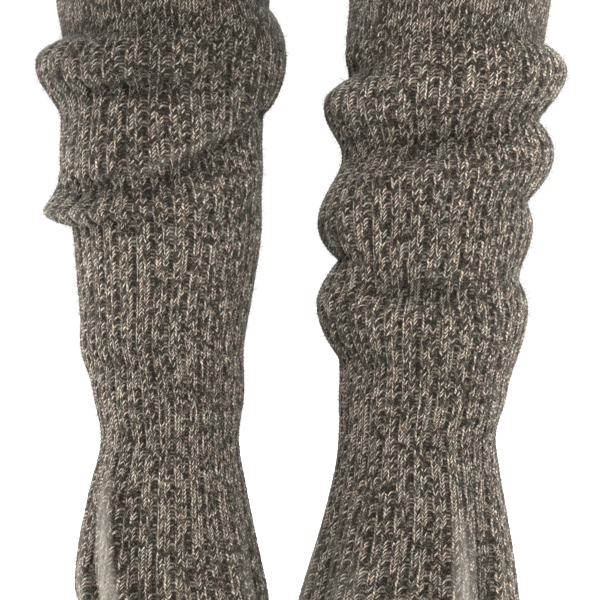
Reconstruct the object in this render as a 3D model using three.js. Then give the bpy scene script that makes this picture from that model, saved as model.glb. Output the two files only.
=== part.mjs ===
// A pair of marled wool leg warmers, worn by nobody: four knitted tubes that keep the hollow,
// slouched form of worn cloth. Each warmer is a plain knitted top band and a ribbed leg.
// Millimetres, +Z up, +X to the right, front towards -Y. The origin lies midway between the
// two bands, at the level where they grip. Levels are measured down from there.
import * as THREE from "three";

// Driving dimensions
const WALL = 3; // knitted wool cloth
const SEAM_GAP = 0.32; // between a band and its leg
const TOP_LEVEL = -30; // cast-on edge
const BAND_LEVEL = 26; // where the plain band ends and the rib begins
const FOLD_START = 8; // slouched cloth begins here
const SEGMENTS = 32; // round each tube
const STEP_PLAIN = 18; // between rings in smooth cloth
const STEP_FOLDED = 6.6; // between rings in slouched cloth
const NEAR = 2.5; // mm and degrees, over which the slope of the cloth is taken

// Columns of `sections`: level, then how far the smooth tube reaches to each side of the
// warmer's own axis. Columns of `folds`: at and reach, the middle and half spread round the
// tube in degrees (0 right, 90 back, 180 left, 270 front); level of the crest and its slant
// in mm a degree; rise, outward, or inward where negative; above and below, how far it
// spreads up and down; crest and foot, how full those two flanks are (under 1 is full, over
// 2 is hollow); sag, how far the crest droops. Columns of `flutes`, the lengthwise folds of
// the flare: at and reach as above, at the hem; rise at the hem; the level where each one
// begins; and lean, the degrees that its middle moves round in each mm of level.
const LEFT = {
  name: "left",
  axis: -80,
  hem: 349,
  foldEnd: 150,
  sections: [
    { level: -30, left: -62, right: 64, front: -60, back: 66 },
    { level: 0, left: -61, right: 62, front: -59, back: 65 },
    { level: 26, left: -57, right: 60, front: -57, back: 64 },
    { level: 70, left: -58, right: 58, front: -56, back: 62 },
    { level: 100, left: -56, right: 57, front: -55, back: 60 },
    { level: 135, left: -51, right: 57, front: -53, back: 57 },
    { level: 170, left: -48, right: 52, front: -50, back: 53 },
    { level: 200, left: -45, right: 47, front: -48, back: 50 },
    { level: 230, left: -39, right: 47, front: -45, back: 47 },
    { level: 254, left: -35, right: 44, front: -43, back: 46 },
    { level: 285, left: -42, right: 49, front: -47, back: 50 },
    { level: 315, left: -48, right: 55, front: -54, back: 56 },
    { level: 338, left: -50, right: 60, front: -59, back: 61 },
    { level: 349, left: -48, right: 62, front: -61, back: 62 },
  ],
  folds: [
    { at: 180, reach: 85, level: 36, slant: 0, rise: 16, above: 12, below: 34, crest: 0.8, foot: 2, sag: 1 },
    { at: 258, reach: 78, level: 40, slant: -0.05, rise: 8, above: 17, below: 14, crest: 0.9, foot: 0.9, sag: 4 },
    { at: 0, reach: 85, level: 32, slant: 0, rise: 12, above: 26, below: 34, crest: 0.8, foot: 0.8, sag: 2 },
    { at: 303, reach: 32, level: 38, slant: 0.1, rise: -4, above: 16, below: 16, crest: 1.5, foot: 1.5, sag: 0 },
    { at: 262, reach: 76, level: 56, slant: -0.06, rise: -3.5, above: 10, below: 12, crest: 1.5, foot: 1.5, sag: 0 },
    { at: 225, reach: 75, level: 99, slant: 0, rise: 4, above: 30, below: 12, crest: 2, foot: 0.9, sag: 3 },
    { at: 300, reach: 70, level: 79, slant: -0.45, rise: 3, above: 22, below: 13, crest: 2, foot: 1.0, sag: 2 },
    { at: 225, reach: 75, level: 112, slant: 0, rise: -7.5, above: 11, below: 8, crest: 1.6, foot: 1.5, sag: 0 },
    { at: 296, reach: 70, level: 96, slant: -0.45, rise: -5.6, above: 12, below: 13, crest: 1.6, foot: 1.5, sag: 0 },
    { at: 183, reach: 75, level: 118, slant: 0.05, rise: 15, above: 28, below: 12, crest: 5, foot: 0.8, sag: 3 },
    { at: 250, reach: 72, level: 115, slant: -0.08, rise: 7, above: 9, below: 14, crest: 1.1, foot: 0.8, sag: 5 },
    { at: 318, reach: 60, level: 108, slant: -0.33, rise: 4, above: 10, below: 20, crest: 1.2, foot: 1.6, sag: 3 },
    { at: 195, reach: 70, level: 204, slant: 0, rise: 2, above: 22, below: 16, crest: 2, foot: 2, sag: 0 },
    { at: 238, reach: 50, level: 212, slant: -0.05, rise: -3, above: 14, below: 12, crest: 2, foot: 2, sag: 0 },
    { at: 308, reach: 60, level: 229, slant: 0.1, rise: -3, above: 18, below: 14, crest: 2, foot: 2, sag: 0 },
    { at: 262, reach: 60, level: 240, slant: 0, rise: 3, above: 16, below: 16, crest: 2, foot: 2, sag: 0 },
    { at: 92, reach: 80, level: 42, slant: 0.05, rise: 10, above: 16, below: 20, crest: 0.9, foot: 1.2, sag: 5 },
    { at: 80, reach: 80, level: 70, slant: -0.15, rise: -6, above: 12, below: 12, crest: 1.5, foot: 1.5, sag: 0 },
    { at: 110, reach: 75, level: 110, slant: 0.08, rise: 9, above: 20, below: 14, crest: 2.5, foot: 0.9, sag: 5 },
    { at: 70, reach: 75, level: 196, slant: 0.1, rise: 4, above: 20, below: 18, crest: 1.6, foot: 1.4, sag: 1 },
  ],
  flutes: [
    { at: 241, reach: 15, rise: 8, from: 222, lean: 0.22 },
    { at: 216, reach: 15, rise: -8, from: 245, lean: 0.22 },
    { at: 320, reach: 20, rise: 1.5, from: 262, lean: 0 },
    { at: 342, reach: 17, rise: -4.5, from: 262, lean: 0 },
    { at: 268, reach: 22, rise: 2, from: 285, lean: 0 },
    { at: 40, reach: 20, rise: 4, from: 260, lean: 0 },
    { at: 66, reach: 18, rise: -5, from: 256, lean: 0 },
    { at: 104, reach: 22, rise: 4, from: 252, lean: 0 },
    { at: 138, reach: 20, rise: -5, from: 256, lean: 0 },
  ],
};

const RIGHT = {
  name: "right",
  axis: 86,
  hem: 358,
  foldEnd: 208,
  sections: [
    { level: -30, left: -59, right: 61, front: -58, back: 64 },
    { level: 0, left: -57, right: 59, front: -57, back: 63 },
    { level: 26, left: -59, right: 55, front: -55, back: 62 },
    { level: 46, left: -59, right: 54, front: -54, back: 61 },
    { level: 80, left: -61, right: 51, front: -53, back: 59 },
    { level: 120, left: -62, right: 45, front: -51, back: 56 },
    { level: 150, left: -64, right: 42, front: -50, back: 53 },
    { level: 165, left: -65, right: 40, front: -49, back: 52 },
    { level: 200, left: -64, right: 37, front: -47, back: 49 },
    { level: 230, left: -63, right: 33, front: -44, back: 46 },
    { level: 251, left: -63, right: 27, front: -42, back: 45 },
    { level: 270, left: -65, right: 29, front: -44, back: 47 },
    { level: 300, left: -72, right: 34, front: -52, back: 55 },
    { level: 325, left: -79, right: 38, front: -58, back: 60 },
    { level: 358, left: -88, right: 42, front: -65, back: 66 },
  ],
  folds: [
    { at: 184, reach: 80, level: 60, slant: 0, rise: 12, above: 14, below: 30, crest: 0.8, foot: 2, sag: 1 },
    { at: 0, reach: 85, level: 41, slant: 0, rise: 14, above: 14, below: 29, crest: 0.8, foot: 1.5, sag: 1 },
    { at: 275, reach: 78, level: 48, slant: -0.12, rise: 7.5, above: 20, below: 23, crest: 0.9, foot: 1.1, sag: 4 },
    { at: 205, reach: 55, level: 43, slant: -0.1, rise: -4, above: 12, below: 10, crest: 1.5, foot: 1.5, sag: 0 },
    { at: 262, reach: 95, level: 86, slant: -0.12, rise: -7, above: 19, below: 12, crest: 1.3, foot: 1.2, sag: 0 },
    { at: 0, reach: 80, level: 90, slant: 0, rise: 11, above: 18, below: 27, crest: 0.8, foot: 1.2, sag: 2 },
    { at: 270, reach: 80, level: 97, slant: -0.08, rise: 7, above: 12, below: 34, crest: 1, foot: 2, sag: 4 },
    { at: 180, reach: 80, level: 126, slant: 0, rise: 13, above: 34, below: 24, crest: 2, foot: 1, sag: 2 },
    { at: 5, reach: 70, level: 133, slant: 0, rise: 5, above: 15, below: 24, crest: 1.2, foot: 1.5, sag: 0 },
    { at: 242, reach: 88, level: 167, slant: 0.1, rise: -6.5, above: 14, below: 11, crest: 1.6, foot: 1.2, sag: 0 },
    { at: 180, reach: 80, level: 174, slant: 0, rise: 11, above: 22, below: 34, crest: 0.9, foot: 1.2, sag: 2 },
    { at: 268, reach: 78, level: 184, slant: 0.02, rise: 5.5, above: 12, below: 32, crest: 1, foot: 2, sag: 4 },
    { at: 0, reach: 80, level: 181, slant: 0, rise: 7, above: 18, below: 45, crest: 0.9, foot: 2, sag: 1 },
    { at: 215, reach: 60, level: 214, slant: 0, rise: -3, above: 20, below: 18, crest: 2, foot: 2, sag: 0 },
    { at: 300, reach: 60, level: 240, slant: 0.05, rise: 2, above: 22, below: 20, crest: 2, foot: 2, sag: 0 },
    { at: 88, reach: 85, level: 52, slant: 0.1, rise: 9, above: 20, below: 20, crest: 0.9, foot: 1.2, sag: 5 },
    { at: 95, reach: 85, level: 82, slant: 0.08, rise: -6, above: 12, below: 11, crest: 1.5, foot: 1.5, sag: 0 },
    { at: 85, reach: 80, level: 112, slant: -0.1, rise: 9, above: 22, below: 24, crest: 1.6, foot: 1.1, sag: 4 },
    { at: 95, reach: 80, level: 178, slant: 0.05, rise: 7, above: 18, below: 34, crest: 1, foot: 1.6, sag: 3 },
  ],
  flutes: [
    { at: 293, reach: 16, rise: 5, from: 240, lean: 0 },
    { at: 314, reach: 17, rise: -7, from: 255, lean: 0 },
    { at: 206, reach: 18, rise: -6, from: 258, lean: 0 },
    { at: 236, reach: 20, rise: 3, from: 275, lean: 0 },
    { at: 186, reach: 12, rise: 2, from: 285, lean: 0 },
    { at: 36, reach: 18, rise: 4, from: 262, lean: 0 },
    { at: 62, reach: 18, rise: -5, from: 258, lean: 0 },
    { at: 100, reach: 22, rise: 4, from: 256, lean: 0 },
    { at: 140, reach: 20, rise: -5, from: 262, lean: 0 },
  ],
};

// A column of a table at a level, on a smooth curve through the rows
function columnAt(rows, column, level) {
  const last = rows.length - 1;
  let i = 0;
  while (i < last - 1 && level > rows[i + 1].level) i += 1;
  const slope = (k) => {
    const low = rows[Math.max(k - 1, 0)];
    const high = rows[Math.min(k + 1, last)];
    return (high[column] - low[column]) / (high.level - low.level);
  };
  const span = rows[i + 1].level - rows[i].level;
  const t = (level - rows[i].level) / span;
  const fromStart = (1 + 2 * t) * (1 - t) ** 2 * rows[i][column] + t * (1 - t) ** 2 * span * slope(i);
  const fromEnd = t * t * (3 - 2 * t) * rows[i + 1][column] + t * t * (t - 1) * span * slope(i + 1);
  return fromStart + fromEnd;
}

// How far round, in degrees from -180 to 180, an angle lies past another
function turn(angle, from) {
  return ((((angle - from + 180) % 360) + 360) % 360) - 180;
}

// 1 at the middle of a spread, falling softly to 0 at its ends
function spread(offset, reach) {
  return Math.abs(offset) < reach ? Math.cos((Math.PI / 2) * (offset / reach)) ** 2 : 0;
}

function easeIn(from, to, value) {
  const t = Math.min(Math.max((value - from) / (to - from), 0), 1);
  return t * t * (3 - 2 * t);
}

// The outer face of the cloth at a level and an angle in degrees
function clothPoint(warmer, level, angle) {
  const radians = THREE.MathUtils.degToRad(angle);
  const across = Math.cos(radians);
  const deep = Math.sin(radians);
  const left = columnAt(warmer.sections, "left", level);
  const right = columnAt(warmer.sections, "right", level);
  const reachY = columnAt(warmer.sections, deep < 0 ? "front" : "back", level);
  let out = 0;
  let drop = 0;
  for (const fold of warmer.folds) {
    const round = turn(angle, fold.at);
    const past = level - fold.level - fold.slant * round;
    const u = past / (past < 0 ? fold.above : fold.below);
    if (Math.abs(u) >= 1) continue;
    const share = (1 - u * u) ** (past < 0 ? fold.crest : fold.foot) * spread(round, fold.reach);
    out += fold.rise * share;
    drop += fold.sag * share;
  }
  for (const flute of warmer.flutes) {
    const middle = flute.at + flute.lean * (level - warmer.hem);
    const share = spread(turn(angle, middle), flute.reach);
    out += flute.rise * share * easeIn(flute.from, warmer.hem, level);
  }
  return new THREE.Vector3(
    warmer.axis + (left + right) / 2 + ((right - left) / 2 + out) * across,
    (Math.abs(reachY) + out) * deep,
    -level - drop,
  );
}

// The directions of the cloth at a level and an angle: square to it, outward, and down along it
function clothDirections(warmer, level, angle) {
  const up = clothPoint(warmer, level - NEAR, angle);
  const down = clothPoint(warmer, level + NEAR, angle);
  const before = clothPoint(warmer, level, angle - NEAR);
  const after = clothPoint(warmer, level, angle + NEAR);
  const along = down.sub(up).normalize();
  const outward = along.clone().cross(after.sub(before)).normalize();
  return { outward, along };
}

// Levels of the rings between two edges, closer together where the cloth is slouched
function ringLevels(warmer, start, end) {
  const levels = [start];
  let level = start;
  while (level < end) {
    const folded = level > FOLD_START && level < warmer.foldEnd;
    level += folded ? STEP_FOLDED : STEP_PLAIN;
    levels.push(Math.min(level, end));
  }
  const last = levels.length - 1;
  if (last > 1 && levels[last] - levels[last - 1] < STEP_FOLDED / 2) levels.splice(last - 1, 1);
  return levels;
}

// One closed body: an outer face, an inner face and the two open edges between them. Each
// edge stands back along the cloth from its own level by half a seam gap, where it has one.
function knittedTube(warmer, start, end, startGap, endGap) {
  const levels = ringLevels(warmer, start, end);
  const outer = [];
  const inner = [];
  for (const level of levels) {
    const shift = (level === start ? startGap : 0) - (level === end ? endGap : 0);
    for (let j = 0; j < SEGMENTS; j += 1) {
      const angle = (360 * j) / SEGMENTS;
      const { outward, along } = clothDirections(warmer, level, angle);
      const point = clothPoint(warmer, level, angle).addScaledVector(along, shift);
      outer.push(...point);
      inner.push(...point.addScaledVector(outward, -WALL));
    }
  }
  const indices = [];
  const quad = (a, b, c, d) => indices.push(a, b, c, a, c, d);
  const rings = levels.length;
  for (let j = 0; j < SEGMENTS; j += 1) {
    const k = (j + 1) % SEGMENTS;
    for (let i = 0; i < rings - 1; i += 1) {
      const upper = i * SEGMENTS;
      const lower = (i + 1) * SEGMENTS;
      const inside = rings * SEGMENTS;
      quad(upper + j, lower + j, lower + k, upper + k);
      quad(inside + upper + j, inside + upper + k, inside + lower + k, inside + lower + j);
    }
    const lining = rings * SEGMENTS;
    const bottom = (rings - 1) * SEGMENTS;
    quad(j, k, lining + k, lining + j);
    quad(bottom + j, lining + bottom + j, lining + bottom + k, bottom + k);
  }
  const geometry = new THREE.BufferGeometry();
  geometry.setAttribute("position", new THREE.Float32BufferAttribute([...outer, ...inner], 3));
  geometry.setIndex(indices);
  geometry.computeVertexNormals();
  return geometry;
}

function woolCloth(colour) {
  return new THREE.MeshStandardMaterial({ color: colour, roughness: 0.95, metalness: 0 });
}

function legWarmer(warmer) {
  const group = new THREE.Group();
  const band = new THREE.Mesh(
    knittedTube(warmer, TOP_LEVEL, BAND_LEVEL, 0, SEAM_GAP / 2),
    woolCloth(0x5a524a),
  );
  band.name = `${warmer.name}_top_band`;
  const leg = new THREE.Mesh(
    knittedTube(warmer, BAND_LEVEL, warmer.hem, SEAM_GAP / 2, 0),
    woolCloth(0x6a6259),
  );
  leg.name = `${warmer.name}_ribbed_leg`;
  group.add(band, leg);
  return group;
}

const pair = new THREE.Group();
pair.add(legWarmer(LEFT), legWarmer(RIGHT));

export default pair;
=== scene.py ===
# A pair of marled wool leg warmers in the hollow, slouched form they keep when worn: plain
# knitted top bands and ribbed legs whose stitches stand in the mesh, with loose wool hairs
# and looped edges. Metres, +Z up, front towards -Y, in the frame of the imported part.
import math

import bpy
import numpy as np
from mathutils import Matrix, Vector


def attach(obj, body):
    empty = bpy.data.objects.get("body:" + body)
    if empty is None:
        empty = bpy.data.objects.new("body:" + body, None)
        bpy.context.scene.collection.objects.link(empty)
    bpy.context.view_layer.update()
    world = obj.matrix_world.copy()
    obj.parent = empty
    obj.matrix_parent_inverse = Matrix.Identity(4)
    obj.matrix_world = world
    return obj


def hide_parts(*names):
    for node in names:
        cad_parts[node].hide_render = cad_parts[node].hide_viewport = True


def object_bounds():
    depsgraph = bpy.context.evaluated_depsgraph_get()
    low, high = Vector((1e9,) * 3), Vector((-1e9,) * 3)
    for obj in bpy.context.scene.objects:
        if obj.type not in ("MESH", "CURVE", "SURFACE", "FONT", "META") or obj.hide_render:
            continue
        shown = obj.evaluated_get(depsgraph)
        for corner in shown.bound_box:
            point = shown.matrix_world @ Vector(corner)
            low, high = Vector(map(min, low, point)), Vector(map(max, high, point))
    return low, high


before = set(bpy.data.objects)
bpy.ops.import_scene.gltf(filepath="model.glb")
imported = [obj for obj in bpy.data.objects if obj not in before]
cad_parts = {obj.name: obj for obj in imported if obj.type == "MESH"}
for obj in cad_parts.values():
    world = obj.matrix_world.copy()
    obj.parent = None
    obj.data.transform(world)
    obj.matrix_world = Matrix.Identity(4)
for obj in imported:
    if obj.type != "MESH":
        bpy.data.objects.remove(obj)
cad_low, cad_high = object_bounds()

MM = 0.001

# The knitted cloth, in millimetres
WALL = 3.0
TOP_LEVEL = -30.0  # cast-on edge, measured down from the level where the bands grip
BAND_LEVEL = 26.0  # where the plain band ends and the rib begins
SEAM_GAP = 0.04  # the band and the leg meet here, row to row
ROW_PITCH = 2.15
RIB_REPEATS = 31  # two knit stitches and one purl stitch each
BAND_STITCHES = 3 * RIB_REPEATS
NEAR = 1.2  # over which the slope of the cloth is taken

# Columns of `sections`: level, then how far the smooth tube reaches to each side of the
# warmer's own axis. Columns of `folds`: at and reach, the middle and half spread round the
# tube in degrees (0 right, 90 back, 180 left, 270 front); level of the crest and its slant
# in mm a degree; rise, outward, or inward where negative; above and below, how far it
# spreads up and down; crest and foot, how full those two flanks are (under 1 is full, over
# 2 is hollow); sag, how far the crest droops. Columns of `flutes`, the lengthwise folds of
# the flare: at and reach as above, at the hem; rise at the hem; the level where each one
# begins; and lean, the degrees that its middle moves round in each mm of level.
# `tones` are levels and how far the wool's colour is scaled there, darker towards the left
# warmer's top.
SECTION_COLUMNS = ("level", "left", "right", "front", "back")
FOLD_COLUMNS = ("at", "reach", "level", "slant", "rise", "above", "below", "crest", "foot", "sag")
FLUTE_COLUMNS = ("at", "reach", "rise", "start", "lean")

LEFT = dict(
    name="left",
    stitch_seed=7,
    hair_seed=21,
    axis=-80,
    hem=349,
    sections=(
        (-30, -62, 64, -60, 66),
        (0, -61, 62, -59, 65),
        (26, -57, 60, -57, 64),
        (70, -58, 58, -56, 62),
        (100, -56, 57, -55, 60),
        (135, -51, 57, -53, 57),
        (170, -48, 52, -50, 53),
        (200, -45, 47, -48, 50),
        (230, -39, 47, -45, 47),
        (254, -35, 44, -43, 46),
        (285, -42, 49, -47, 50),
        (315, -48, 55, -54, 56),
        (338, -50, 60, -59, 61),
        (349, -48, 62, -61, 62),
    ),
    folds=(
        (180, 85, 36, 0, 16, 12, 34, 0.8, 2, 1),
        (258, 78, 40, -0.05, 8, 17, 14, 0.9, 0.9, 4),
        (0, 85, 32, 0, 12, 26, 34, 0.8, 0.8, 2),
        (303, 32, 38, 0.1, -4, 16, 16, 1.5, 1.5, 0),
        (262, 76, 56, -0.06, -3.5, 10, 12, 1.5, 1.5, 0),
        (225, 75, 99, 0, 4, 30, 12, 2, 0.9, 3),
        (300, 70, 79, -0.45, 3, 22, 13, 2, 1.0, 2),
        (225, 75, 112, 0, -7.5, 11, 8, 1.6, 1.5, 0),
        (296, 70, 96, -0.45, -5.6, 12, 13, 1.6, 1.5, 0),
        (183, 75, 118, 0.05, 15, 28, 12, 5, 0.8, 3),
        (250, 72, 115, -0.08, 7, 9, 14, 1.1, 0.8, 5),
        (318, 60, 108, -0.33, 4, 10, 20, 1.2, 1.6, 3),
        (195, 70, 204, 0, 2, 22, 16, 2, 2, 0),
        (238, 50, 212, -0.05, -3, 14, 12, 2, 2, 0),
        (308, 60, 229, 0.1, -3, 18, 14, 2, 2, 0),
        (262, 60, 240, 0, 3, 16, 16, 2, 2, 0),
        (92, 80, 42, 0.05, 10, 16, 20, 0.9, 1.2, 5),
        (80, 80, 70, -0.15, -6, 12, 12, 1.5, 1.5, 0),
        (110, 75, 110, 0.08, 9, 20, 14, 2.5, 0.9, 5),
        (70, 75, 196, 0.1, 4, 20, 18, 1.6, 1.4, 1),
    ),
    tones=((-30, 0.66), (40, 0.66), (75, 0.82), (120, 0.9), (130, 1.0)),
    flutes=(
        (241, 15, 8, 222, 0.22),
        (216, 15, -8, 245, 0.22),
        (320, 20, 1.5, 262, 0),
        (342, 17, -4.5, 262, 0),
        (268, 22, 2, 285, 0),
        (40, 20, 4, 260, 0),
        (66, 18, -5, 256, 0),
        (104, 22, 4, 252, 0),
        (138, 20, -5, 256, 0),
    ),
)

RIGHT = dict(
    name="right",
    stitch_seed=11,
    hair_seed=41,
    axis=86,
    hem=358,
    sections=(
        (-30, -59, 61, -58, 64),
        (0, -57, 59, -57, 63),
        (26, -59, 55, -55, 62),
        (46, -59, 54, -54, 61),
        (80, -61, 51, -53, 59),
        (120, -62, 45, -51, 56),
        (150, -64, 42, -50, 53),
        (165, -65, 40, -49, 52),
        (200, -64, 37, -47, 49),
        (230, -63, 33, -44, 46),
        (251, -63, 27, -42, 45),
        (270, -65, 29, -44, 47),
        (300, -72, 34, -52, 55),
        (325, -79, 38, -58, 60),
        (358, -88, 42, -65, 66),
    ),
    folds=(
        (184, 80, 60, 0, 12, 14, 30, 0.8, 2, 1),
        (0, 85, 41, 0, 14, 14, 29, 0.8, 1.5, 1),
        (275, 78, 48, -0.12, 7.5, 20, 23, 0.9, 1.1, 4),
        (205, 55, 43, -0.1, -4, 12, 10, 1.5, 1.5, 0),
        (262, 95, 86, -0.12, -7, 19, 12, 1.3, 1.2, 0),
        (0, 80, 90, 0, 11, 18, 27, 0.8, 1.2, 2),
        (270, 80, 97, -0.08, 7, 12, 34, 1, 2, 4),
        (180, 80, 126, 0, 13, 34, 24, 2, 1, 2),
        (5, 70, 133, 0, 5, 15, 24, 1.2, 1.5, 0),
        (242, 88, 167, 0.1, -6.5, 14, 11, 1.6, 1.2, 0),
        (180, 80, 174, 0, 11, 22, 34, 0.9, 1.2, 2),
        (268, 78, 184, 0.02, 5.5, 12, 32, 1, 2, 4),
        (0, 80, 181, 0, 7, 18, 45, 0.9, 2, 1),
        (215, 60, 214, 0, -3, 20, 18, 2, 2, 0),
        (300, 60, 240, 0.05, 2, 22, 20, 2, 2, 0),
        (88, 85, 52, 0.1, 9, 20, 20, 0.9, 1.2, 5),
        (95, 85, 82, 0.08, -6, 12, 11, 1.5, 1.5, 0),
        (85, 80, 112, -0.1, 9, 22, 24, 1.6, 1.1, 4),
        (95, 80, 178, 0.05, 7, 18, 34, 1, 1.6, 3),
    ),
    tones=((-30, 0.95), (120, 1.0)),
    flutes=(
        (293, 16, 5, 240, 0),
        (314, 17, -7, 255, 0),
        (206, 18, -6, 258, 0),
        (236, 20, 3, 275, 0),
        (186, 12, 2, 285, 0),
        (36, 18, 4, 262, 0),
        (62, 18, -5, 258, 0),
        (100, 22, 4, 256, 0),
        (140, 20, -5, 262, 0),
    ),
)


def placed(name, data):
    """An object of this data, in the scene."""
    thing = bpy.data.objects.new(name, data)
    bpy.context.scene.collection.objects.link(thing)
    return thing


# ---- The form of the cloth ----------------------------------------------------------------


def column_at(rows, column, level):
    """A column of the sections at some levels, on a smooth curve through the rows."""
    table = np.array(rows, float)
    at = table[:, 0]
    value = table[:, SECTION_COLUMNS.index(column)]
    slope = np.gradient(value)
    slope[1:-1] = (value[2:] - value[:-2]) / (at[2:] - at[:-2])
    slope[0] = (value[1] - value[0]) / (at[1] - at[0])
    slope[-1] = (value[-1] - value[-2]) / (at[-1] - at[-2])
    i = np.clip(np.searchsorted(at, level, side="right") - 1, 0, len(at) - 2)
    span = at[i + 1] - at[i]
    t = (level - at[i]) / span
    from_start = (1 + 2 * t) * (1 - t) ** 2 * value[i] + t * (1 - t) ** 2 * span * slope[i]
    from_end = t * t * (3 - 2 * t) * value[i + 1] + t * t * (t - 1) * span * slope[i + 1]
    return from_start + from_end


def turn(angle, start):
    """How far round, in degrees from -180 to 180, an angle lies past another."""
    return (angle - start + 180) % 360 - 180


def spread(offset, reach):
    """1 at the middle of a spread, falling softly to 0 at its ends."""
    return np.where(np.abs(offset) < reach, np.cos(np.pi / 2 * offset / reach) ** 2, 0)


def ease(start, end, value):
    t = np.clip((value - start) / (end - start), 0, 1)
    return t * t * (3 - 2 * t)


def cloth_point(warmer, level, angle):
    """The outer face of the cloth at levels and angles, in millimetres."""
    level, angle = np.broadcast_arrays(np.asarray(level, float), np.asarray(angle, float))
    radians = np.radians(angle)
    left = column_at(warmer["sections"], "left", level)
    right = column_at(warmer["sections"], "right", level)
    front = column_at(warmer["sections"], "front", level)
    back = column_at(warmer["sections"], "back", level)
    out = np.zeros(level.shape)
    drop = np.zeros(level.shape)
    for row in warmer["folds"]:
        fold = dict(zip(FOLD_COLUMNS, row))
        past_middle = turn(angle, fold["at"])
        past = level - fold["level"] - fold["slant"] * past_middle
        u = past / np.where(past < 0, fold["above"], fold["below"])
        inside = np.clip(1 - u * u, 0, 1)
        share = inside ** np.where(past < 0, fold["crest"], fold["foot"])
        share = share * spread(past_middle, fold["reach"])
        out += fold["rise"] * share
        drop += fold["sag"] * share
    for row in warmer["flutes"]:
        flute = dict(zip(FLUTE_COLUMNS, row))
        middle = flute["at"] + flute["lean"] * (level - warmer["hem"])
        share = spread(turn(angle, middle), flute["reach"])
        out += flute["rise"] * share * ease(flute["start"], warmer["hem"], level)
    deep = np.sin(radians)
    x = warmer["axis"] + (left + right) / 2 + ((right - left) / 2 + out) * np.cos(radians)
    y = (np.where(deep < 0, -front, back) + out) * deep
    return np.stack([x, y, -level - drop], axis=-1)


def unit(vectors):
    return vectors / np.maximum(np.linalg.norm(vectors, axis=-1, keepdims=True), 1e-9)


def cloth_directions(warmer, level, angle):
    """Square to the cloth, outward, and down along it."""
    along = unit(
        cloth_point(warmer, level + NEAR, angle) - cloth_point(warmer, level - NEAR, angle)
    )
    across = cloth_point(warmer, level, angle + NEAR) - cloth_point(warmer, level, angle - NEAR)
    return unit(np.cross(along, across)), along


FOLD_REACH = 9.0  # up and down the cloth, over which a crease or a ridge is judged
FLUTE_REACH = 11.0  # the same round the tube, in degrees
FULL_RELIEF = 5.0  # a crease or ridge this deep, in mm, counts in full
ROLL_SHARE = 0.15  # of its relief that a roll counts: it is worn less than a lengthwise ridge


def relief(warmer, level, angle):
    """-1 in the deepest creases, 1 on the highest ridges and folds, 0 on even cloth."""

    def radius(down, turned):
        x, y, _ = np.moveaxis(cloth_point(warmer, level + down, angle + turned), -1, 0)
        return np.hypot(x - warmer["axis"], y)

    here = radius(0, 0)
    along = here - (radius(-FOLD_REACH, 0) + radius(FOLD_REACH, 0)) / 2
    around = here - (radius(0, -FLUTE_REACH) + radius(0, FLUTE_REACH)) / 2
    along = np.where(along > 0, ROLL_SHARE * along, along)
    return np.clip((along + around) / FULL_RELIEF, -1, 1)


# ---- The stitches -------------------------------------------------------------------------

# The columns of points across one repeat of a knit: place, as a share of the repeat's width;
# height of the yarn over the cloth in mm; and fall, how many rows lower the row line passes
# there, which draws the V.
STITCH_COLUMNS = ("place", "height", "fall")
V_FALL = 1.1
FIRST_STITCH = 230  # degrees round the tube
PURL_HEIGHT = -0.8  # columns lower than this belong to a purl stitch

RIB = (
    (0.00, -0.85, 0.0),
    (0.10, 0.50, 0.5),
    (0.20, 0.05, 1.0),
    (0.30, 0.60, 0.5),
    (0.40, -0.15, 0.0),
    (0.50, 0.60, 0.5),
    (0.60, 0.05, 1.0),
    (0.70, 0.50, 0.5),
    (0.80, -0.85, 0.0),
)
PLAIN = (
    (0.00, -0.42, 0.0),
    (0.25, 0.34, 0.5),
    (0.50, -0.12, 1.0),
    (0.75, 0.34, 0.5),
)
ROW_CREST = 0.2  # height of a row of yarn over the dip between two rows, halved
EDGE_ROWS = 3  # over which the V's straighten out towards an open edge
SEAM_ROWS = 4  # over which the band's stitches take the places of the rib's
RIB_EDGES = (0.0, 0.4, 0.8, 1.0)  # where its two knit stitches and its purl stitch begin
PURL_BUMP = 0.7  # how far the loops stand out on the wrong side of the knit
HEM_ROWS = 9  # the last rows of the leg, whose wrong side shows in the flare
ROW_UNEVEN = 0.06  # how unevenly the rows run, in rows
YARN_UNEVEN = 0.09  # how unevenly the yarn stands out, in mm
PURL_CREST = -1.2  # a purl stitch's yarn crests where a knit's dips, and a little more
EDGE_RELIEF = 0.35  # share of its relief that the knit keeps at an open edge
# The groove is a mask for painted shade between the ribs; INNER_GROOVE is its share between the
# purl bumps inside
GROOVE_TOP = 0.2  # the heights of the yarn between which a groove deepens
GROOVE_FLOOR = -0.85
INNER_GROOVE = 0.4
# Slow waves of the ribs round the leg: degrees, mm of level to a radian, waves round the
# tube, and where they start; they grow between two distances below the band.
RIB_WAVES = ((0.5, 27, 2, 0), (0.3, 11, 5, 1))
WAVES_FROM = 5
WAVES_FULL = 30
FINE_LEVELS = 500  # at which the length of the cloth is summed
JUST_PAST = 1e-6  # so that a stitch begins at its own edge


def rows_on_cloth(warmer, start, end, angles):
    """How many rows of stitches fit down the cloth, and the level that each one reaches."""
    fine = np.linspace(start, end, FINE_LEVELS)
    points = cloth_point(warmer, fine[:, None], angles[None, :])
    steps = np.linalg.norm(np.diff(points, axis=0), axis=-1)
    run = np.concatenate([np.zeros((1, len(angles))), np.cumsum(steps, axis=0)])
    rows = int(round(run[-1].mean() / ROW_PITCH))
    passed = run / run[-1] * rows

    def level_at(line):
        inside = [np.interp(line[:, k], passed[:, k], fine) for k in range(len(angles))]
        return np.stack(inside, axis=1) + np.maximum(line - rows, 0) * ROW_PITCH

    return rows, level_at


def stitch_table(pattern, repeats):
    """Place round the tube, height and fall of each column of points."""
    given = dict(zip(STITCH_COLUMNS, np.array(pattern * repeats, float).T))
    place = (np.repeat(np.arange(repeats), len(pattern)) + given["place"]) / repeats
    return place, given["height"], given["fall"]


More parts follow.
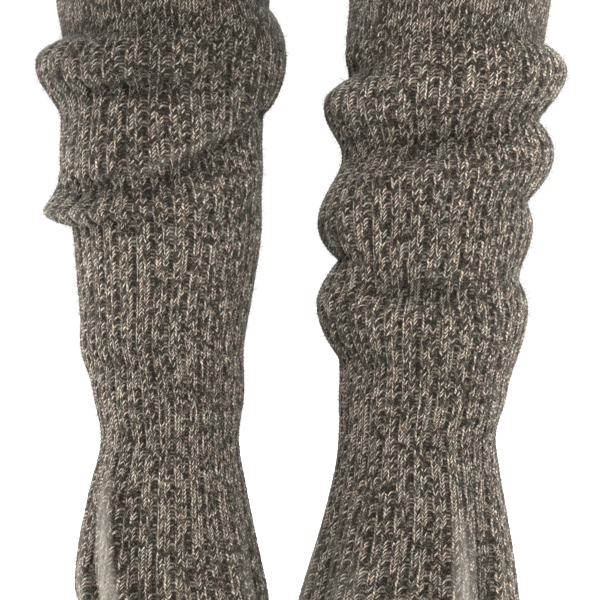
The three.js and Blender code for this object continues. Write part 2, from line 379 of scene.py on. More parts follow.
def places_of_rib(place):
    """The places that the rib gives evenly spaced stitches, and where its purl stitch is."""
    stitch = place * BAND_STITCHES + JUST_PAST
    kind = np.floor(stitch).astype(int) % 3
    edges = np.array(RIB_EDGES)
    in_repeat = edges[kind] + (stitch % 1) * (edges[kind + 1] - edges[kind])
    return (np.floor(stitch / 3) + in_repeat) / RIB_REPEATS, kind == 2


def knitted_tube(name, warmer, start, end, repeats, pattern, lining_step, thread):
    """One closed knitted tube: stitches in relief outside, purl bumps inside where it shows.

    The inside has one point for `thread` columns of the outside, and one line of points for
    `lining_step` half rows, but for every half row near an open hem.
    """
    dice = np.random.default_rng(warmer["stitch_seed"])
    place, height, fall = stitch_table(pattern, repeats)
    columns = len(place)
    rows, level_at = rows_on_cloth(warmer, start, end, place * 360 + FIRST_STITCH)
    lines = 2 * rows + 1
    line = np.broadcast_to(np.arange(lines)[:, None] / 2, (lines, columns))

    # An open edge lies straight, and the band's last rows take the places of the rib's.
    calm = np.ones(line.shape)
    flat = np.ones(line.shape)
    angle = np.broadcast_to(place * 360 + FIRST_STITCH, line.shape)
    if start == BAND_LEVEL:
        flat = ease(0, 1, line)
    else:
        calm = calm * ease(0, EDGE_ROWS, line)
    if end == BAND_LEVEL:
        flat = flat * ease(0, 1, rows - line)
        near = ease(rows - SEAM_ROWS, rows, line)
        rib_place, purl = places_of_rib(place)
        angle = angle + (rib_place - place) * 360 * near
        fall = fall * (1 - near * purl)
    else:
        calm = calm * ease(0, EDGE_ROWS, rows - line)
    fallen = line + V_FALL * fall * calm
    fallen = fallen + ROW_UNEVEN * dice.standard_normal(fallen.shape) * calm * flat
    level = level_at(fallen)
    wander = np.zeros(level.shape)
    for size, run, waves, begin in RIB_WAVES:
        wander += size * np.sin(level / run + waves * np.radians(angle) + begin)
    angle = angle + wander * ease(BAND_LEVEL + WAVES_FROM, BAND_LEVEL + WAVES_FULL, level)

    crest = np.where(np.arange(lines) % 2 == 1, ROW_CREST, -ROW_CREST)[:, None]
    raised = height + np.where(height < PURL_HEIGHT, PURL_CREST, 1) * crest
    raised = raised + YARN_UNEVEN * dice.standard_normal(line.shape)
    raised = raised * (EDGE_RELIEF + (1 - EDGE_RELIEF) * calm) * flat
    outward, along = cloth_directions(warmer, level, angle)
    shift = np.zeros((lines, 1, 1))
    shift[0] += SEAM_GAP / 2 * (start == BAND_LEVEL)
    shift[-1] -= SEAM_GAP / 2 * (end == BAND_LEVEL)
    outer = cloth_point(warmer, level, angle) + raised[..., None] * outward + shift * along

    fine_from = lines if end == BAND_LEVEL else lines - 2 * HEM_ROWS
    lining_lines = np.unique(np.r_[0:fine_from:lining_step, fine_from:lines, lines - 1])
    chosen = np.ix_(lining_lines, np.arange(0, columns, thread))
    inner_level = level_at(line)[chosen]
    outward, along = cloth_directions(warmer, inner_level, angle[chosen])
    brick = (lining_lines[:, None] + np.arange(0, columns, thread) // thread) % 2
    fine = (lining_step == 1) | (lining_lines >= fine_from)
    inside = WALL + PURL_BUMP * (brick * fine[:, None] * calm[chosen] * flat[chosen])
    inner = cloth_point(warmer, inner_level, angle[chosen]) - inside[..., None] * outward
    inner += shift[lining_lines] * along

    mesh = TubeMesh(outer, inner, thread, lining_lines)
    piece = mesh.build(name)
    mesh.add_maps(piece.data, len(pattern))
    tones = np.transpose(warmer["tones"])
    # A mask for painted shade: the grooves between the ribs outside, and the gaps between the
    # purl bumps inside
    groove = np.broadcast_to(ease(GROOVE_TOP, GROOVE_FLOOR, height), line.shape)
    mesh.add_point_values(piece.data, "groove", groove, INNER_GROOVE * (1 - brick))
    # The relief, for the painted shade in the creases and the nap on the ridges
    mesh.add_point_values(piece.data, "relief", relief(warmer, level, angle), 0 * inside)
    # How far the wool's colour is scaled at each level, from `tones`
    mesh.add_point_values(
        piece.data, "tone", np.interp(level, *tones), np.interp(inner_level, *tones)
    )
    mesh.add_point_values(piece.data, "outside", np.ones(line.shape), 0 * inside)
    return piece, rows


# The flat map, from 0 to 1: the inner face lies below FLAT_INNER, each rim triangle above
# FLAT_RIM, and the outer face from FLAT_OUTER up.
FLAT_INNER = 0.1
FLAT_RIM = 0.11
FLAT_RIM_HEIGHT = 0.02
FLAT_OUTER = 0.14
RIM_CORNERS = (0.1, 0.9, 0.5)  # where a rim triangle's corners lie across its own place


class TubeMesh:
    """A closed tube from a fine outer grid and a coarse inner grid of points."""

    def __init__(self, outer, inner, thread, lining_lines):
        self.outer = outer
        self.inner = inner
        self.thread = thread  # outer columns to one inner column
        self.lining_lines = lining_lines  # the outer line beside each inner one
        self.lines, self.columns = outer.shape[:2]
        self.inner_lines, self.inner_columns = inner.shape[:2]
        self.inner_start = self.lines * self.columns

    def wall_faces(self, lines, columns, first, facing_out):
        j = np.arange(columns)
        i = np.arange(lines - 1)[:, None]
        k = (j + 1) % columns
        upper_j = first + i * columns + j
        upper_k = first + i * columns + k
        lower_j = upper_j + columns
        lower_k = upper_k + columns
        order = (upper_j, lower_j, lower_k, upper_k)
        if not facing_out:
            order = order[::-1]
        return np.stack(order, axis=-1).reshape(-1, 4)

    def edge_faces(self, top):
        """The rim of an open end, as triangles between the two walls."""
        outer_first = 0 if top else (self.lines - 1) * self.columns
        inner_first = self.inner_start
        inner_first += 0 if top else (self.inner_lines - 1) * self.inner_columns
        faces = []
        for j in range(self.inner_columns):
            k = (j + 1) % self.inner_columns
            for step in range(self.thread):
                a = outer_first + (j * self.thread + step) % self.columns
                b = outer_first + (j * self.thread + step + 1) % self.columns
                faces.append((a, b, inner_first + j))
            last = outer_first + ((j + 1) * self.thread) % self.columns
            faces.append((last, inner_first + k, inner_first + j))
        faces = np.array(faces)
        return faces if top else faces[:, ::-1]

    def build(self, name):
        points = np.concatenate([self.outer.reshape(-1, 3), self.inner.reshape(-1, 3)]) * MM
        outer = self.wall_faces(self.lines, self.columns, 0, True)
        inner = self.wall_faces(self.inner_lines, self.inner_columns, self.inner_start, False)
        self.rims = np.concatenate([self.edge_faces(True), self.edge_faces(False)])
        quads = np.concatenate([outer, inner])
        mesh = bpy.data.meshes.new(name)
        mesh.vertices.add(len(points))
        mesh.vertices.foreach_set("co", points.astype(np.float32).ravel())
        corners = np.concatenate([quads.ravel(), self.rims.ravel()])
        starts = np.concatenate(
            [np.arange(len(quads)) * 4, len(quads) * 4 + np.arange(len(self.rims)) * 3]
        )
        mesh.loops.add(len(corners))
        mesh.loops.foreach_set("vertex_index", corners.astype(np.int32))
        mesh.polygons.add(len(starts))
        mesh.polygons.foreach_set("loop_start", starts.astype(np.int32))
        mesh.polygons.foreach_set("use_smooth", np.ones(len(starts), bool))
        mesh.update(calc_edges=True)
        mesh.validate()
        return placed(name, mesh)

    def corner_grid(self, lines, columns, facing_out):
        """The line and the column of each corner of a wall's faces."""
        i, j = np.meshgrid(np.arange(lines - 1), np.arange(columns), indexing="ij")
        corner_i = np.stack([i, i + 1, i + 1, i], axis=-1).reshape(-1, 4)
        corner_j = np.stack([j, j, j + 1, j + 1], axis=-1).reshape(-1, 4)
        if not facing_out:
            return corner_i[:, ::-1], corner_j[:, ::-1]
        return corner_i, corner_j

    def add_maps(self, mesh, per_repeat):
        """Two maps: `stitches`, in columns and rows of the knit, and the flat cut."""
        corner_i, corner_j = self.corner_grid(self.lines, self.columns, True)
        outer = np.stack([corner_j / per_repeat, corner_i / 2], axis=-1).reshape(-1, 2)
        up = FLAT_OUTER + (1 - FLAT_OUTER) * corner_i / (self.lines - 1)
        outer_flat = np.stack([corner_j / self.columns, up], axis=-1).reshape(-1, 2)
        corner_i, corner_j = self.corner_grid(self.inner_lines, self.inner_columns, False)
        repeat = self.thread / per_repeat
        inner_row = self.lining_lines[corner_i] / 2
        inner = np.stack([corner_j * repeat, inner_row], axis=-1).reshape(-1, 2)
        up = FLAT_INNER * corner_i / (self.inner_lines - 1)
        inner_flat = np.stack([corner_j / self.inner_columns, up], axis=-1).reshape(-1, 2)
        rim_count = len(self.rims)
        slot = np.repeat(np.arange(rim_count), 3)
        across = (slot + np.tile(RIM_CORNERS, rim_count)) / rim_count
        up = FLAT_RIM + FLAT_RIM_HEIGHT * np.tile([0, 0, 1], rim_count)
        rim_flat = np.stack([across, up], axis=-1)
        rim = np.stack([rim_flat[:, 0] * self.columns / per_repeat, rim_flat[:, 1]], axis=-1)
        for name, parts in (
            ("OFBake", (outer_flat, inner_flat, rim_flat)),
            ("stitches", (outer, inner, rim)),
        ):
            layer = mesh.uv_layers.new(name=name)
            values = np.concatenate(parts).astype(np.float32)
            layer.data.foreach_set("uv", values.ravel())

    def add_point_values(self, mesh, name, outer_values, inner_values):
        values = np.concatenate([outer_values.ravel(), inner_values.ravel()])
        attribute = mesh.attributes.new(name, "FLOAT", "POINT")
        attribute.data.foreach_set("value", values.astype(np.float32))


# ---- Materials ----------------------------------------------------------------------------

DARK_WOOL = (0.014, 0.011, 0.008, 1)
BROWN_WOOL = (0.105, 0.088, 0.070, 1)
GREY_WOOL = (0.39, 0.335, 0.275, 1)
PALE_WOOL = (0.93, 0.84, 0.73, 1)
WARM_TINT = (1.09, 0.99, 0.94, 1)
COOL_TINT = (0.94, 1.01, 0.97, 1)
NAP_DARK = (0.14, 0.126, 0.108, 1)
NAP_PALE = (0.35, 0.325, 0.285, 1)
HAIR_DARK = (0.03, 0.025, 0.02, 1)
HAIR_GREY = (0.16, 0.14, 0.12, 1)
HAIR_PALE = (0.60, 0.54, 0.46, 1)
FLOOR_PALE = (0.8, 0.8, 0.79, 1)
WHITE = (1, 1, 1, 1)

# Ramps: places from 0 to 1, and the value or the colour at each
PLY_WIDTH = ((0.11, 1.0), (0.24, 0.0))  # a pale ply on a left leg, from its middle out
PLY_BEAD = ((0.24, 1.0), (0.48, 0.5))  # from the middle of a row to its edges
PLY_RUN = ((0.45, 0.0), (0.54, 1.0))  # where the ply is on top
PLY_OWN = ((0.0, 0.35), (0.7, 1.0))  # how pale each stitch of it is
STROKE_WIDTH = ((0.08, 1.0), (0.26, 0.0))  # a pale ply that crosses a leg
STROKE_ENDS = ((0.2, 1.0), (0.46, 0.1))
STROKE_CHANCE = ((0.36, 0.0), (0.7, 1.0))
YARN_SHADES = ((0.38, DARK_WOOL), (0.6, BROWN_WOOL), (0.85, GREY_WOOL))
PLY_FIBRES = ((0.35, 0.2), (0.58, 1.0))  # dark fibres break up the pale ply
TINTS = ((0.45, COOL_TINT), (0.8, WARM_TINT))
# Painted shade in the dip between two rows
ROW_DIP = ((0.27, 1.0), (0.5, 0.22))  # the shade between two rows
NAP_SHADES = ((0.3, NAP_DARK), (0.68, NAP_PALE))
NAP_SHARE = ((0.6, 0.0), (0.95, 0.6))  # by relief, from the creases up to the ridges
# Painted shade by relief: darkest in the deepest creases, a little lighter on the highest ridges
SHADE_BY_RELIEF = ((0.0, 0.4), (0.5, 0.78), (0.7, 0.84), (1.0, 1.1))  # how light, by relief
HAIR_SHADES = ((0.0, HAIR_DARK), (0.55, HAIR_GREY), (1.0, HAIR_PALE))

# Scales of noise, in waves a metre
FIBRE_SCALE = 1500.0
STRAND_SCALE = 900.0
STRAND_STRETCH = (1.0, 1.0, 0.3)  # the nap lies in long strands, up and down
PLY_SCALE = 700.0
CLOUD_SCALE = 420.0
PATCH_SCALE = 160.0

LEG_COLUMNS = 2  # columns of points to one leg of a stitch
LANES = 5.0  # legs to a repeat of the rib: four of its knit stitches, one of its purl
PURL_LEG = 3.5  # the legs past this are a purl stitch
PLY_WANDER = 0.6  # how far a ply strays over its fibres, in widths of a leg
# A pale ply's noise: its jump from one leg to the next, and its drift in a row
PLY_SWAY = (7.31, 0.4)
PLY_TOP = (3.77, 0.36)
SWAY_REACH = 1.2
SWAY_FROM = -0.1
STROKE_SLOPES = (0.1, 0.9)  # least, and how much more
# What makes a stretch of yarn light: the stitch's own shade, a cloud of it, and its fibres
STITCH_SHARE = 0.3
CLOUD_SHARE = 0.45
FIBRE_SHARE = 2.0
YARN_DARKNESS = 0.88
ARC_STRENGTH = 0.3  # how pale the arcs of a purl are outside
INNER_ARC_STRENGTH = 0.8
# Painted shade at the bottom of a groove, as a share of the wool's colour
GROOVE_SHADE = 0.68
PLAIN_SHADE = 0.85  # of the band's wool beside the rib's


class Nodes:
    """Adds nodes to a material or a modifier tree, a call for each."""

    def __init__(self, tree):
        self.tree = tree

    def add(self, kind, inputs=(), **settings):
        node = self.tree.nodes.new(kind)
        for key, value in settings.items():
            setattr(node, key, value)
        for key, value in dict(inputs).items():
            if isinstance(value, bpy.types.NodeSocket):
                self.tree.links.new(value, node.inputs[key])
            else:
                node.inputs[key].default_value = value
        return node

    def math(self, operation, *values):
        return self.add("ShaderNodeMath", dict(enumerate(values)), operation=operation).outputs[0]

    def vector(self, x, y, z=0.0):
        return self.add("ShaderNodeCombineXYZ", {0: x, 1: y, 2: z}).outputs[0]

    def noise(self, vector, scale=1.0, detail=2.0, roughness=0.5):
        inputs = {"Vector": vector, "Scale": scale, "Detail": detail, "Roughness": roughness}
        return self.add("ShaderNodeTexNoise", inputs).outputs["Fac"]

    def drift(self, lane, row, jump, step):
        """A slow noise along each leg's own line."""
        place = self.vector(self.math("MULTIPLY", lane, jump), self.math("MULTIPLY", row, step))
        return self.noise(place)

    def off_middle(self, value):
        """How far a value from 0 to 1 lies from the middle."""
        return self.math("ABSOLUTE", self.math("SUBTRACT", value, 0.5))

    def attribute(self, name):
        return self.add("ShaderNodeAttribute", attribute_name=name).outputs["Fac"]

    def random_value(self, low, high, seed):
        """A number between two, another one for each instance."""
        inputs = {2: low, 3: high, 8: seed}
        return self.add("FunctionNodeRandomValue", inputs, data_type="FLOAT").outputs[1]

    def ramp(self, value, *stops):
        node = self.add("ShaderNodeValToRGB", {0: value})
        ramp = node.color_ramp
        while len(ramp.elements) < len(stops):
            ramp.elements.new(0.5)
        for element, (place, colour) in zip(ramp.elements, stops):
            element.position = place
            element.color = colour if hasattr(colour, "__len__") else (colour,) * 3 + (1,)
        return node.outputs[0]

    def mix(self, share, first, second, blend="MIX"):
        node = self.add("ShaderNodeMix", {0: share}, data_type="RGBA", blend_type=blend)
        for socket, value in ((node.inputs[6], first), (node.inputs[7], second)):
            if isinstance(value, bpy.types.NodeSocket):
                self.tree.links.new(value, socket)
            else:
                socket.default_value = value
        return node.outputs[2]


def marled_wool(name, repeat_columns, shade):
    """Ragg wool in a knit: dark, brown and pale plies that follow the legs of each stitch, with
    painted shade in its grooves, between its rows and in its creases.
    """
    material = bpy.data.materials.new(name)
    material.use_nodes = True
    tree = material.node_tree
    tree.nodes.clear()
    n = Nodes(tree)
    place = n.add("ShaderNodeUVMap", uv_map="stitches").outputs[0]
    split = n.add("ShaderNodeSeparateXYZ", {0: place})
    body = n.add("ShaderNodeTexCoord").outputs["Object"]
    groove = n.attribute("groove")
    folds = n.attribute("relief")
    tone = n.attribute("tone")
    outside = n.attribute("outside")

    # Which leg of which stitch, and where in it
    repeat = n.math("FLOOR", split.outputs[0])
    column = n.math("MULTIPLY", n.math("FRACT", split.outputs[0]), float(repeat_columns))
    leg = n.math("FLOOR", n.math("MULTIPLY", column, 1 / LEG_COLUMNS))
    in_leg = n.math("FRACT", n.math("MULTIPLY", column, 1 / LEG_COLUMNS))
    lane = n.math("MULTIPLY_ADD", repeat, LANES, leg)
    is_right = n.math("MODULO", leg, 2.0)
    row = split.outputs[1]
    yarn = n.math("FLOOR", row)
    in_yarn = n.math("FRACT", row)
    own_one = n.add("ShaderNodeTexWhiteNoise", {0: n.vector(lane, yarn)}).outputs["Value"]
    own_two = n.add("ShaderNodeTexWhiteNoise", {0: n.vector(yarn, lane, 5.0)}).outputs["Value"]
    strays = n.noise(body, PLY_SCALE, detail=1.0)
    wander = n.math("MULTIPLY_ADD", strays, PLY_WANDER, -PLY_WANDER / 2)

    # Left legs: a ply stays on top for a few rows, so it reads as a thin beaded line.
    sway = n.math("MULTIPLY_ADD", n.drift(lane, row, *PLY_SWAY), SWAY_REACH, SWAY_FROM)
    off_line = n.math("ABSOLUTE", n.math("SUBTRACT", n.math("ADD", in_leg, wander), sway))
    upright = n.ramp(off_line, *PLY_WIDTH)
    bead = n.ramp(n.off_middle(in_yarn), *PLY_BEAD)
    on_top = n.drift(lane, row, *PLY_TOP)
    upright = n.math("MULTIPLY", upright, n.ramp(on_top, *PLY_RUN))
    bead = n.math("MULTIPLY", bead, n.ramp(own_two, *PLY_OWN))
    upright = n.math("MULTIPLY", upright, bead)

    # Right legs: the plies cross the leg, so each row shows its own slanted stroke.
    slope = n.math("MULTIPLY_ADD", own_two, STROKE_SLOPES[1], STROKE_SLOPES[0])
    tilt = n.math("MULTIPLY", n.math("SUBTRACT", in_leg, 0.5), slope)
    in_stroke = n.math("ADD", n.math("ADD", in_yarn, tilt), wander)
    slanted = n.ramp(n.off_middle(in_stroke), *STROKE_WIDTH)
    slanted = n.math("MULTIPLY", slanted, n.ramp(n.off_middle(in_leg), *STROKE_ENDS))
    chance = n.ramp(own_one, *STROKE_CHANCE)
    slanted = n.math("MULTIPLY", slanted, chance)
    pale = n.mix(is_right, upright, slanted)

    # The purl stitch between two ribs, and the whole wrong side: short arcs lying across
    arc = n.math("MULTIPLY", n.ramp(n.off_middle(in_yarn), *STROKE_WIDTH), chance)
    is_inside = n.math("LESS_THAN", outside, 0.5)
    is_purl = n.math("MAXIMUM", n.math("GREATER_THAN", leg, PURL_LEG), is_inside)
    more_inside = INNER_ARC_STRENGTH - ARC_STRENGTH
    strength = n.math("MULTIPLY_ADD", is_inside, more_inside, ARC_STRENGTH)
    arc = n.math("MULTIPLY", arc, strength)
    pale = n.mix(is_purl, pale, arc)

    # The rest of the yarn: dark to grey fibres that change from stitch to stitch
    fibres = n.noise(body, FIBRE_SCALE, detail=3.0, roughness=0.75)
    cloud = n.noise(body, CLOUD_SCALE, detail=1.0)
    light = n.math("MULTIPLY", cloud, CLOUD_SHARE)
    light = n.math("MULTIPLY_ADD", own_one, STITCH_SHARE, light)
    light = n.math("SUBTRACT", light, YARN_DARKNESS)
    light = n.math("MULTIPLY_ADD", fibres, FIBRE_SHARE, light)
    base = n.ramp(light, *YARN_SHADES)
    pale = n.math("MULTIPLY", pale, n.ramp(fibres, *PLY_FIBRES))
    colour = n.mix(pale, base, PALE_WOOL)

    # Patches of warmer and cooler wool, and painted shade in the dips between the ribs and
    # between the rows
    patch = n.math("MULTIPLY_ADD", own_two, 0.3, n.noise(body, PATCH_SCALE))
    tint = n.ramp(patch, *TINTS)
    colour = n.mix(1.0, colour, tint, "MULTIPLY")
    dip = n.ramp(n.off_middle(in_yarn), *ROW_DIP)
    colour = n.mix(1.0, colour, dip, "MULTIPLY")
    dim = n.ramp(groove, (0.0, shade), (1.0, GROOVE_SHADE * shade))
    colour = n.mix(1.0, colour, dim, "MULTIPLY")

    # Painted shade darkens the deep creases, the highest ridges are a little lighter, and the nap
    # on the sharpest ridges hides the stitches
    height = n.math("MULTIPLY_ADD", folds, 0.5, 0.5)
    drawn_out = n.add("ShaderNodeMapping", {0: body, 3: STRAND_STRETCH}).outputs[0]
    nap = n.ramp(n.noise(drawn_out, STRAND_SCALE), *NAP_SHADES)
    colour = n.mix(n.ramp(height, *NAP_SHARE), colour, nap)
    shade_by_relief = n.ramp(height, *SHADE_BY_RELIEF)
    colour = n.mix(1.0, colour, shade_by_relief, "MULTIPLY")
    # The colour made darker by level, as `tones` gives
    colour = n.mix(1.0, colour, n.vector(tone, tone, tone), "MULTIPLY")

    bump_height = n.math("MULTIPLY_ADD", fibres, 0.5, n.math("MULTIPLY", pale, 0.5))
    bump = n.add("ShaderNodeBump", {"Strength": 0.5, "Distance": 0.0006, "Height": bump_height})
    inputs = {
        "Base Color": colour,
        "Roughness": 0.95,
        "Specular IOR Level": 0.15,
        "Sheen Weight": 0.2,
        "Sheen Roughness": 0.5,
        "Sheen Tint": (0.62, 0.59, 0.54, 1),
        "Normal": bump.outputs[0],
    }
    shader = n.add("ShaderNodeBsdfPrincipled", inputs)
    n.add("ShaderNodeOutputMaterial", {0: shader.outputs[0]})
    return material


def pale_floor():
    """A matt pale floor, lifted for the eye to the brightness of the backdrop."""
    material = bpy.data.materials.new("pale_floor")
    material.use_nodes = True
    n = Nodes(material.node_tree)
    shader = material.node_tree.nodes["Principled BSDF"]
    shader.inputs["Base Color"].default_value = FLOOR_PALE
    shader.inputs["Roughness"].default_value = 0.8
    shader.inputs["Emission Color"].default_value = WHITE
    path = n.add("ShaderNodeLightPath").outputs["Is Camera Ray"]
    material.node_tree.links.new(path, shader.inputs["Emission Strength"])
    return material


def hair_wool():
    """Loose hairs, each of its own shade between the dark ply and the pale one."""
    material = bpy.data.materials.new("loose_wool")
    material.use_nodes = True
    n = Nodes(material.node_tree)
    shade = n.attribute("shade")
    colour = n.ramp(shade, *HAIR_SHADES)
    shader = material.node_tree.nodes["Principled BSDF"]
    shader.inputs["Roughness"].default_value = 0.9
    shader.inputs["Specular IOR Level"].default_value = 0.15
    material.node_tree.links.new(colour, shader.inputs["Base Color"])
    return material


# ---- Hairs and edges, grown by Geometry Nodes ---------------------------------------------

HAIR_LENGTH = 0.0030
HAIR_THICKNESS = 0.00010
HAIRS_PER_SQUARE_METRE = 78000.0
HAIR_POINTS = 3
HAIR_SIDES = 3
HAIR_ARC = ((0, 0, -0.08), (0.3, 0.1, 0.5), (0.85, -0.05, 0.45))  # root, middle, tip
HAIR_TAPER = -0.75  # how much of its thickness a hair loses by the tip
HAIR_LEAN = 1.15  # either way, in radians
HAIR_SIZES = (0.45, 1.35)  # shortest and longest, beside HAIR_LENGTH
EDGE_BEAD = (0.0030, 0.0018, 0.0020)  # a cast-on stitch: across the wall, along the rim, high
EDGE_SLANT = 0.6  # radians
EDGE_STEP = 3.0  # degrees between the points of a rim
EDGE_SHADES = (0.1, 0.8)
HAIR_SIZE_SEED = 5
HAIR_SHADE_SEED = 9
EDGE_SHADE_SEED = 4


def new_tree(name, sockets):
    """A Geometry Nodes tree with named inputs, and its first and last nodes."""
    tree = bpy.data.node_groups.new(name, "GeometryNodeTree")
    tree.interface.new_socket("Geometry", in_out="INPUT", socket_type="NodeSocketGeometry")
    for label, kind in sockets:
        tree.interface.new_socket(label, in_out="INPUT", socket_type=kind)
    tree.interface.new_socket("Geometry", in_out="OUTPUT", socket_type="NodeSocketGeometry")
    n = Nodes(tree)
    return tree, n, n.add("NodeGroupInput").outputs


def finish_tree(n, instances, shade, wool):
    """Gives each instance its own shade, then makes plain meshes of them all."""
    shaded = n.add(
        "GeometryNodeStoreNamedAttribute",
        {"Geometry": instances, "Name": "shade", "Value": shade},
        data_type="FLOAT",
        domain="INSTANCE",
    )
    real = n.add("GeometryNodeRealizeInstances", {0: shaded.outputs[0]})
    made = n.add("GeometryNodeSetMaterial", {"Geometry": real.outputs[0], "Material": wool})
    n.add("NodeGroupOutput", {0: made.outputs[0]})


def hair_tree():
    """Curled hairs that lean every way out of a knit, each one a small tapered tube."""
    sockets = (
        ("Hairs per square metre", "NodeSocketFloat"),
        ("Length", "NodeSocketFloat"),
        ("Thickness", "NodeSocketFloat"),
        ("Seed", "NodeSocketInt"),
        ("Wool", "NodeSocketMaterial"),
    )
    tree, n, given = new_tree("wool_hairs", sockets)
    outside = n.add("GeometryNodeInputNamedAttribute", {"Name": "outside"}, data_type="FLOAT")
    density = n.math("MULTIPLY", outside.outputs[0], given["Hairs per square metre"])
    roots = n.add(
        "GeometryNodeDistributePointsOnFaces",
        {"Mesh": given["Geometry"], "Density": density, "Seed": given["Seed"]},
    )
    arc = n.add(
        "GeometryNodeCurveArc",
        dict(enumerate((HAIR_POINTS, *HAIR_ARC))),
        mode="POINTS",
    )
    along = n.add("GeometryNodeSplineParameter").outputs[0]
    taper = n.math("MULTIPLY_ADD", along, HAIR_TAPER, 1.0)
    thin = n.add("GeometryNodeSetCurveRadius", {"Curve": arc.outputs[0], "Radius": taper})
    thickness = n.math("DIVIDE", given["Thickness"], given["Length"])
    ring = n.add(
        "GeometryNodeCurvePrimitiveCircle",
        {"Resolution": HAIR_SIDES, "Radius": n.math("MULTIPLY", thickness, 0.5)},
    )
    hair = n.add(
        "GeometryNodeCurveToMesh",
        {"Curve": thin.outputs[0], "Profile Curve": ring.outputs[0], "Fill Caps": True},
    )
    lean = n.add(
        "FunctionNodeRandomValue",
        {
            0: (-HAIR_LEAN, -HAIR_LEAN, 0),
            1: (HAIR_LEAN, HAIR_LEAN, 2 * math.pi),
            8: given["Seed"],
        },
        data_type="FLOAT_VECTOR",
    )
    turned = n.add("FunctionNodeEulerToRotation", {0: lean.outputs[0]})
    stand = n.add(
        "FunctionNodeRotateRotation",
        {0: roots.outputs["Rotation"], 1: turned.outputs[0]},
        rotation_space="LOCAL",
    )
    size = n.random_value(*HAIR_SIZES, HAIR_SIZE_SEED)
    hairs = n.add(
        "GeometryNodeInstanceOnPoints",
        {
            "Points": roots.outputs["Points"],
            "Instance": hair.outputs[0],
            "Rotation": stand.outputs[0],
            "Scale": n.math("MULTIPLY", size, given["Length"]),
        },
    )
    shade = n.random_value(0.0, 1.0, HAIR_SHADE_SEED)
    finish_tree(n, hairs.outputs[0], shade, given["Wool"])
    return tree


def edge_tree():
    """A row of slanted stitches along a rim, as a cast-on or cast-off edge has."""
    sockets = (
        ("Stitches", "NodeSocketInt"),
        ("Stitch size", "NodeSocketVector"),
        ("Slant", "NodeSocketFloat"),
        ("Wool", "NodeSocketMaterial"),
    )
    tree, n, given = new_tree("knitted_edge", sockets)
    places = n.add(
        "GeometryNodeCurveToPoints",
        {"Curve": given["Geometry"], "Count": given["Stitches"]},
        mode="COUNT",
    )
    bead = n.add("GeometryNodeMeshUVSphere", {"Segments": 8, "Rings": 5, "Radius": 0.5})
    slanted = n.add("FunctionNodeEulerToRotation", {0: n.vector(0.0, given["Slant"])})
    stand = n.add(
        "FunctionNodeRotateRotation",
        {0: places.outputs["Rotation"], 1: slanted.outputs[0]},
        rotation_space="LOCAL",
    )
    stitches = n.add(
        "GeometryNodeInstanceOnPoints",
        {
            "Points": places.outputs["Points"],
            "Instance": bead.outputs[0],
            "Rotation": stand.outputs[0],
            "Scale": given["Stitch size"],
        },
    )
    shade = n.random_value(*EDGE_SHADES, EDGE_SHADE_SEED)
    finish_tree(n, stitches.outputs[0], shade, given["Wool"])
    return tree


def grown(name, tree, base, values):
    """The plain mesh that a tree grows on a mesh or a curve."""
    holder = placed(name + "_base", base)
    modifier = holder.modifiers.new("growth", "NODES")
    modifier.node_group = tree
    for socket in tree.interface.items_tree:
        if socket.in_out == "INPUT" and socket.name in values:
            modifier[socket.identifier] = values[socket.name]
    seen = holder.evaluated_get(bpy.context.evaluated_depsgraph_get())
    mesh = bpy.data.meshes.new_from_object(seen)
    holder.modifiers.clear()
    bpy.data.objects.remove(holder)
    return placed(name, mesh)


# ---- Studio -------------------------------------------------------------------------------

FLOOR_REACH = 30.0
FLOOR_DROP = 0.012  # from the lowest hem
WORLD_LIGHT = 0.15
BACKDROP = 1.05  # how bright the world is to the eye
LIGHT_TARGET = (0, 0, -0.17)
# Name, place, size and watts
LIGHTS = (
    ("left_light", (-1.4, 0.1, -0.1), 0.5, 24),
    ("right_light", (1.4, 0.1, -0.1), 0.5, 18),
    ("front_light", (0.15, -1.75, 0.6), 0.7, 52),
    ("back_light", (-0.15, 1.75, 0.6), 0.7, 52),
)
LENS = 150
SENSOR = 36
WIDTH_SEEN = 0.348  # metres of the pair across the view


def soft_light(name, place, size, power):
    data = bpy.data.lights.new(name, "AREA")
    data.shape = "SQUARE"
    data.size = size
    data.energy = power
    lamp = placed(name, data)
    lamp.location = place
    lamp.rotation_mode = "QUATERNION"
    lamp.rotation_quaternion = (Vector(LIGHT_TARGET) - Vector(place)).to_track_quat("-Z", "Y")


def studio(low):
    floor_mesh = bpy.data.meshes.new("floor")
    z = low.z - FLOOR_DROP
    square = ((-1, -1), (1, -1), (1, 1), (-1, 1))
    corners = [(x * FLOOR_REACH, y * FLOOR_REACH, z) for x, y in square]
    floor_mesh.from_pydata(corners, [], [(0, 1, 2, 3)])
    floor_mesh.materials.append(pale_floor())
    placed("floor", floor_mesh)
    world = bpy.data.worlds.new("studio")
    bpy.context.scene.world = world
    world.use_nodes = True
    seen = Nodes(world.node_tree)
    path = seen.add("ShaderNodeLightPath").outputs["Is Camera Ray"]
    strength = seen.math("MULTIPLY_ADD", path, BACKDROP - WORLD_LIGHT, WORLD_LIGHT)
    backdrop = world.node_tree.nodes["Background"]
    backdrop.inputs[0].default_value = WHITE
    world.node_tree.links.new(strength, backdrop.inputs[1])
    for light in LIGHTS:
        soft_light(*light)
    bpy.context.scene.view_settings.view_transform = "Standard"


def camera():
    data = bpy.data.cameras.new("camera")
    data.lens = LENS
    data.sensor_width = SENSOR
    view = placed("camera", data)
    view.location = (0, -WIDTH_SEEN * LENS / SENSOR, -WIDTH_SEEN / 2)
    view.rotation_euler = (math.radians(90), 0, 0)
    bpy.context.scene.camera = view


# ---- The pair -----------------------------------------------------------------------------


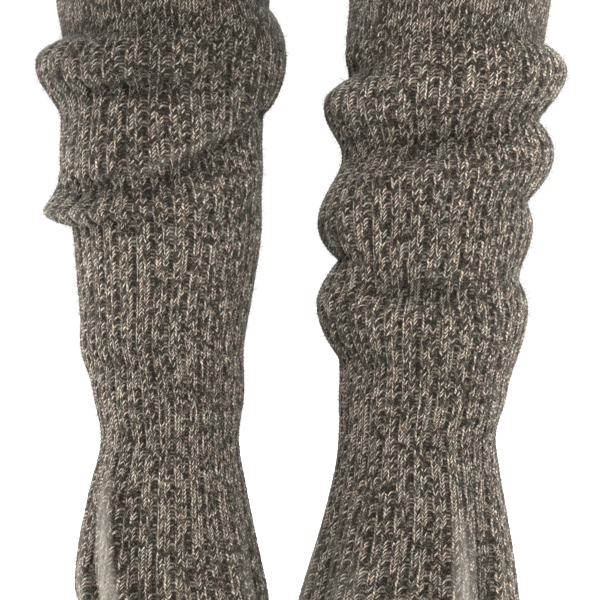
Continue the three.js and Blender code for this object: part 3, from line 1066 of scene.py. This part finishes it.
def hairs_on(cloth, seed):
    """The loose hairs of a knitted piece."""
    values = {
        "Hairs per square metre": HAIRS_PER_SQUARE_METRE,
        "Length": HAIR_LENGTH,
        "Thickness": HAIR_THICKNESS,
        "Seed": seed,
        "Wool": LOOSE_WOOL,
    }
    return grown(cloth.name.replace("_knit", "_hairs"), HAIR_TREE, cloth.data, values)


def edge_on(warmer, level, name):
    """The cast-on or cast-off stitches along an open end."""
    angles = np.arange(0, 360, EDGE_STEP)
    outward, _ = cloth_directions(warmer, level + 0 * angles, angles)
    middle = (cloth_point(warmer, level, angles) - WALL / 2 * outward) * MM
    rim = bpy.data.curves.new(name, "CURVE")
    rim.dimensions = "3D"
    spline = rim.splines.new("POLY")
    spline.points.add(len(middle) - 1)
    spline.points.foreach_set("co", np.c_[middle, np.ones(len(middle))].ravel())
    spline.use_cyclic_u = True
    values = {
        "Stitches": 2 * BAND_STITCHES,
        "Stitch size": EDGE_BEAD,
        "Slant": EDGE_SLANT,
        "Wool": LOOSE_WOOL,
    }
    return grown(name, EDGE_TREE, rim, values)


def finish_piece(piece, node, trims):
    for part in (piece, *trims):
        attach(part, "root")
        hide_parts(node)


def leg_warmer(warmer):
    side = warmer["name"]
    seed = warmer["hair_seed"]
    band, rows = knitted_tube(
        side + "_band_knit",
        warmer,
        TOP_LEVEL,
        BAND_LEVEL,
        BAND_STITCHES,
        PLAIN,
        lining_step=1,
        thread=2,
    )
    band.data.materials.append(PLAIN_WOOL)
    trims = (hairs_on(band, seed), edge_on(warmer, TOP_LEVEL, side + "_cast_on_edge"))
    finish_piece(band, side + "_top_band", trims)

    leg, rows = knitted_tube(
        side + "_leg_knit",
        warmer,
        BAND_LEVEL,
        warmer["hem"],
        RIB_REPEATS,
        RIB,
        lining_step=8,
        thread=3,
    )
    leg.data.materials.append(RIB_WOOL)
    trims = (hairs_on(leg, seed + 1), edge_on(warmer, warmer["hem"], side + "_cast_off_edge"))
    finish_piece(leg, side + "_ribbed_leg", trims)


RIB_WOOL = marled_wool("ribbed_wool", len(RIB), 1.0)
PLAIN_WOOL = marled_wool("plain_wool", len(PLAIN), PLAIN_SHADE)
LOOSE_WOOL = hair_wool()
HAIR_TREE = hair_tree()
EDGE_TREE = edge_tree()
leg_warmer(LEFT)
leg_warmer(RIGHT)

camera()
studio(cad_low)
